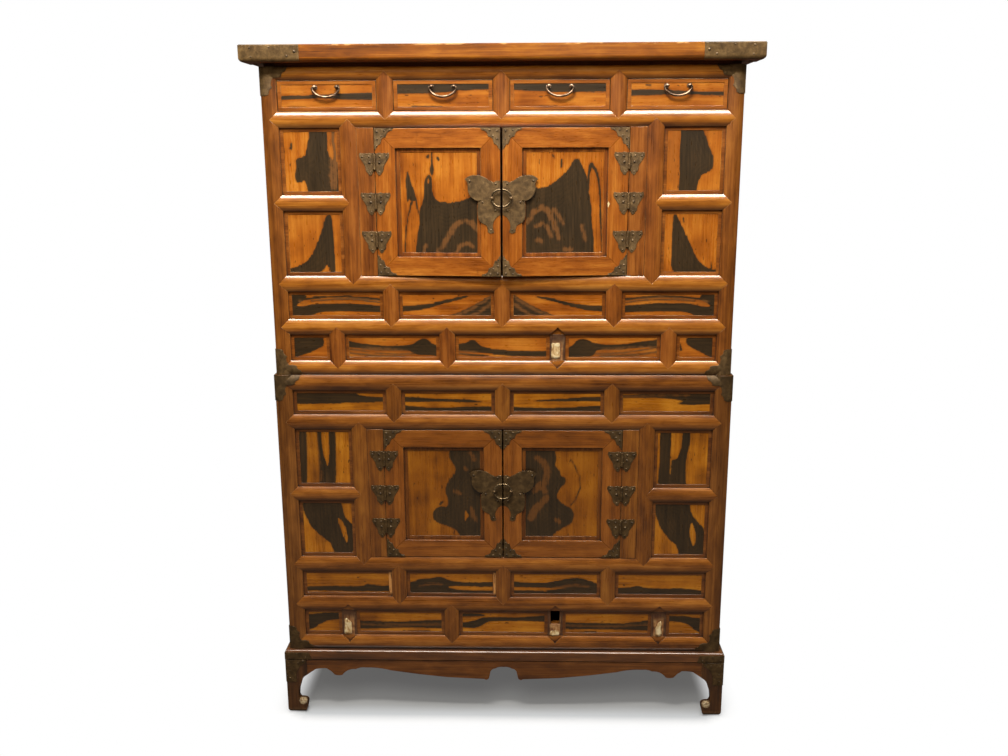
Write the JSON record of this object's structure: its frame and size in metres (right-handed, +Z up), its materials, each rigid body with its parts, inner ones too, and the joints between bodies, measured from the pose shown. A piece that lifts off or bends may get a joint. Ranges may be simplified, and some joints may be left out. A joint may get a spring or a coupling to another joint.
{
  "type": "korean two tier chest",
  "caption": "Stacked wooden clothing chest: two framed cases with paired doors and small drawers above, butterfly hinges and lock plates, on a low scroll footed stand.",
  "frame": {"origin": "on the floor, in the middle of the width and depth of the overhanging top board", "axes": "+Z up, +Y from the front to the back, +X to the right as seen from the front"},
  "size_m": [1.0324, 0.5024, 1.4743],
  "materials": {
    "frame_wood": "semi-gloss worn oil and varnish over reddish hardwood",
    "panel_wood": "semi-gloss varnish over mirrored black-figured persimmon boards",
    "top_wood": "semi-gloss varnish, worn",
    "inner_wood": "bare planed softwood",
    "wrought_iron": "matte olive-brown patinated sheet iron",
    "bronze": "rubbed bronze",
    "door_wood": "semi-gloss amber varnish"
  },
  "bodies": {
    "lower_case": {"stand_top_frame": "frame_wood", "stand_aprons": "frame_wood", "stand_front_legs": "frame_wood", "stand_rear_legs": "frame_wood", "stand_irons": "wrought_iron", "lower_posts": "frame_wood", "lower_rails": "frame_wood", "lower_muntins": "frame_wood", "lower_panels": "panel_wood", "lower_sides": "panel_wood", "lower_back": "inner_wood", "lower_bottom": "inner_wood", "lower_irons": "wrought_iron", "lower_top": "inner_wood"},
    "upper_case": {"upper_posts": "frame_wood", "upper_rails": "frame_wood", "upper_muntins": "frame_wood", "upper_panels": "panel_wood", "upper_sides": "panel_wood", "upper_back": "inner_wood", "upper_bottom": "inner_wood", "upper_irons": "wrought_iron", "upper_top_board": "top_wood", "upper_drawer_carcass": "inner_wood"},
    "lower_left_door": {"lower_left_door_frame": "door_wood", "lower_left_door_panel": "panel_wood", "lower_left_door_irons": "wrought_iron"},
    "lower_left_ring": {"lower_left_door_ring": "bronze"},
    "lower_left_handle": {"lower_left_handle": "wrought_iron"},
    "lower_right_door": {"lower_right_door_frame": "door_wood", "lower_right_door_panel": "panel_wood", "lower_right_door_irons": "wrought_iron"},
    "lower_right_ring": {"lower_right_door_ring": "bronze"},
    "lower_right_handle": {"lower_right_handle": "wrought_iron"},
    "upper_left_door": {"upper_left_door_frame": "door_wood", "upper_left_door_panel": "panel_wood", "upper_left_door_irons": "wrought_iron"},
    "upper_left_ring": {"upper_left_door_ring": "bronze"},
    "upper_left_handle": {"upper_left_handle": "wrought_iron"},
    "upper_right_door": {"upper_right_door_frame": "door_wood", "upper_right_door_panel": "panel_wood", "upper_right_door_irons": "wrought_iron"},
    "upper_right_ring": {"upper_right_door_ring": "bronze"},
    "upper_right_handle": {"upper_right_handle": "wrought_iron"},
    "drawer_1": {"drawer_1_front": "panel_wood", "drawer_1_box": "inner_wood", "drawer_1_posts": "bronze"},
    "drawer_1_bail": {"drawer_1_bail": "bronze"},
    "drawer_2": {"drawer_2_front": "panel_wood", "drawer_2_box": "inner_wood", "drawer_2_posts": "bronze"},
    "drawer_2_bail": {"drawer_2_bail": "bronze"},
    "drawer_3": {"drawer_3_front": "panel_wood", "drawer_3_box": "inner_wood", "drawer_3_posts": "bronze"},
    "drawer_3_bail": {"drawer_3_bail": "bronze"},
    "drawer_4": {"drawer_4_front": "panel_wood", "drawer_4_box": "inner_wood", "drawer_4_posts": "bronze"},
    "drawer_4_bail": {"drawer_4_bail": "bronze"}
  },
  "joints": [
    {"name": "upper_case_lift", "type": "slide", "parent": "lower_case", "child": "upper_case", "axis": [0, 0, 1], "range_m": [0, 0.15]},
    {"name": "lower_left_door_hinge", "type": "hinge", "parent": "lower_case", "child": "lower_left_door", "pos_m": [-0.2595, -0.224, 0.5335], "axis": [0, 0, -1], "range_deg": [0, 150]},
    {"name": "lower_left_ring_turn", "type": "hinge", "parent": "lower_left_door", "child": "lower_left_ring", "pos_m": [-0.0184, -0.2302, 0.5439], "axis": [0, 0, -1], "range_deg": [-12, 100]},
    {"name": "lower_left_handle_swing", "type": "hinge", "parent": "lower_case", "child": "lower_left_handle", "pos_m": [-0.495, 0.0075, 0.55828], "axis": [0, 1, 0], "range_deg": [-8, 100]},
    {"name": "lower_right_door_hinge", "type": "hinge", "parent": "lower_case", "child": "lower_right_door", "pos_m": [0.2595, -0.224, 0.5335], "axis": [0, 0, 1], "range_deg": [0, 150]},
    {"name": "lower_right_ring_turn", "type": "hinge", "parent": "lower_right_door", "child": "lower_right_ring", "pos_m": [0.0184, -0.2302, 0.5439], "axis": [0, 0, 1], "range_deg": [-12, 100]},
    {"name": "lower_right_handle_swing", "type": "hinge", "parent": "lower_case", "child": "lower_right_handle", "pos_m": [0.495, 0.0075, 0.55828], "axis": [0, -1, 0], "range_deg": [-8, 100]},
    {"name": "upper_left_door_hinge", "type": "hinge", "parent": "upper_case", "child": "upper_left_door", "pos_m": [-0.2595, -0.219, 1.1658], "axis": [0, 0, -1], "range_deg": [-4.8, 150]},
    {"name": "upper_left_ring_turn", "type": "hinge", "parent": "upper_left_door", "child": "upper_left_ring", "pos_m": [-0.01976, -0.24535, 1.17633], "axis": [0, 0, -1], "range_deg": [-12, 100]},
    {"name": "upper_left_handle_swing", "type": "hinge", "parent": "upper_case", "child": "upper_left_handle", "pos_m": [-0.49, 0.01, 1.19514], "axis": [0, 1, 0], "range_deg": [-8, 100]},
    {"name": "upper_right_door_hinge", "type": "hinge", "parent": "upper_case", "child": "upper_right_door", "pos_m": [0.2595, -0.219, 1.1658], "axis": [0, 0, 1], "range_deg": [-4.8, 150]},
    {"name": "upper_right_ring_turn", "type": "hinge", "parent": "upper_right_door", "child": "upper_right_ring", "pos_m": [0.01976, -0.24535, 1.17633], "axis": [0, 0, 1], "range_deg": [-12, 100]},
    {"name": "upper_right_handle_swing", "type": "hinge", "parent": "upper_case", "child": "upper_right_handle", "pos_m": [0.49, 0.01, 1.19514], "axis": [0, -1, 0], "range_deg": [-8, 100]},
    {"name": "drawer_1_slide", "type": "slide", "parent": "upper_case", "child": "drawer_1", "axis": [0, -1, 0], "range_m": [0, 0.3]},
    {"name": "drawer_1_bail_swing", "type": "hinge", "parent": "drawer_1", "child": "drawer_1_bail", "pos_m": [-0.35213, -0.2235, 1.3953], "axis": [-1, 0, 0], "range_deg": [-12, 110]},
    {"name": "drawer_2_slide", "type": "slide", "parent": "upper_case", "child": "drawer_2", "axis": [0, -1, 0], "range_m": [0, 0.3]},
    {"name": "drawer_2_bail_swing", "type": "hinge", "parent": "drawer_2", "child": "drawer_2_bail", "pos_m": [-0.11737, -0.2235, 1.3953], "axis": [-1, 0, 0], "range_deg": [-12, 110]},
    {"name": "drawer_3_slide", "type": "slide", "parent": "upper_case", "child": "drawer_3", "axis": [0, -1, 0], "range_m": [0, 0.3]},
    {"name": "drawer_3_bail_swing", "type": "hinge", "parent": "drawer_3", "child": "drawer_3_bail", "pos_m": [0.11737, -0.2235, 1.3953], "axis": [-1, 0, 0], "range_deg": [-12, 110]},
    {"name": "drawer_4_slide", "type": "slide", "parent": "upper_case", "child": "drawer_4", "axis": [0, -1, 0], "range_m": [0, 0.3]},
    {"name": "drawer_4_bail_swing", "type": "hinge", "parent": "drawer_4", "child": "drawer_4_bail", "pos_m": [0.35213, -0.2235, 1.3953], "axis": [-1, 0, 0], "range_deg": [-12, 110]}
  ]
}
